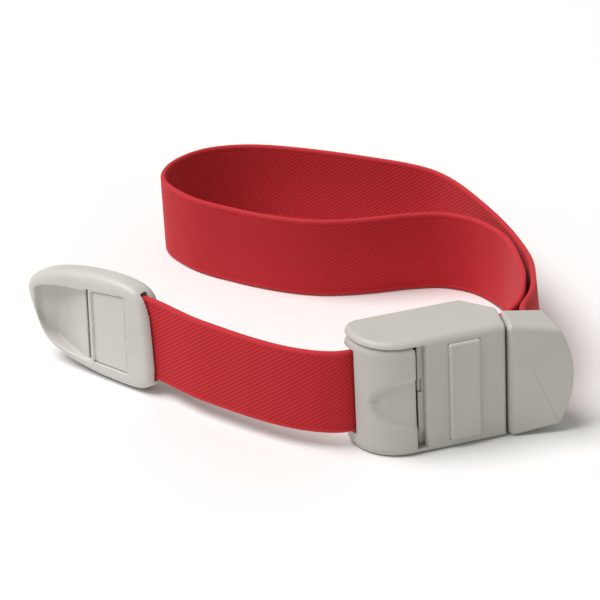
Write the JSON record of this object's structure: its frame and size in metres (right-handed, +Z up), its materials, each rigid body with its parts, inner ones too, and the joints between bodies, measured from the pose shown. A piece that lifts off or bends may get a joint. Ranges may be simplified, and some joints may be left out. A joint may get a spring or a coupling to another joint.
{
  "type": "one-hand tourniquet strap",
  "caption": "Elastic band looped through a quick-release plastic clasp with a thumb lever, press bar and D-shaped plug, and a moulded pull tab on its free end.",
  "frame": {"origin": "on the floor, at the middle of the clasp's flat foot", "axes": "+X along the clasp towards its plug, -Y out of the press bar, +Z up across the band's width"},
  "size_m": [0.1349, 0.1614, 0.0332],
  "materials": {
    "clasp_plastic": "fine matt moulded",
    "tab_plastic": "satin moulded",
    "band_elastic": "twill-woven elastic",
    "pin_steel": "ground"
  },
  "bodies": {
    "clasp": {"casing_shell": "clasp_plastic", "rear_cover": "clasp_plastic", "clamping_bar": "clasp_plastic", "partition": "clasp_plastic", "guide_pin": "pin_steel", "lever_pin": "pin_steel", "lever_spring": "pin_steel", "bar_spring_lower": "pin_steel", "bar_spring_upper": "pin_steel", "band_free_end": "band_elastic", "band_in_clasp": "band_elastic", "band_loop_near": "band_elastic", "band_loop_far": "band_elastic", "tab_shell": "tab_plastic", "tab_clamp_pin": "pin_steel"},
    "lever": {"release_lever": "clasp_plastic"},
    "press_bar": {"press_bar": "clasp_plastic"},
    "latch": {"latch_plate": "clasp_plastic"},
    "plug": {"plug_shell": "clasp_plastic", "plug_rear_cover": "clasp_plastic", "plug_tongue": "clasp_plastic", "band_bar": "pin_steel", "band_sewn_end": "band_elastic"},
    "clamp_plate": {"tab_clamp_plate": "tab_plastic"}
  },
  "joints": [
    {"name": "lever_press", "type": "hinge", "parent": "clasp", "child": "lever", "pos_m": [-0.0195, -0.0025, 0.016], "axis": [0, 0, 1], "range_deg": [0, 7], "stiffness_Nm_per_rad": 0.03, "springref_deg": -5.73},
    {"name": "bar_press", "type": "slide", "parent": "clasp", "child": "press_bar", "axis": [0, 1, 0], "range_m": [0, 0.0015], "stiffness_N_per_m": 800, "springref_m": -0.001, "deforming": ["bar_spring_lower", "bar_spring_upper"]},
    {"name": "latch_slide", "type": "slide", "parent": "clasp", "child": "latch", "axis": [0, 1, 0], "range_m": [0, 0.0015]},
    {"name": "plug_slide", "type": "slide", "parent": "clasp", "child": "plug", "axis": [1, 0, 0], "range_m": [0, 0.016]},
    {"name": "clamp_hinge", "type": "hinge", "parent": "clasp", "child": "clamp_plate", "pos_m": [-0.07915, 0.06664, 0.01607], "axis": [0.0367, 0.0236, 0.999], "range_deg": [-80, 0]}
  ],
  "couplings": [
    {"joint": "latch_slide", "follows": "bar_press", "ratio": 1}
  ]
}
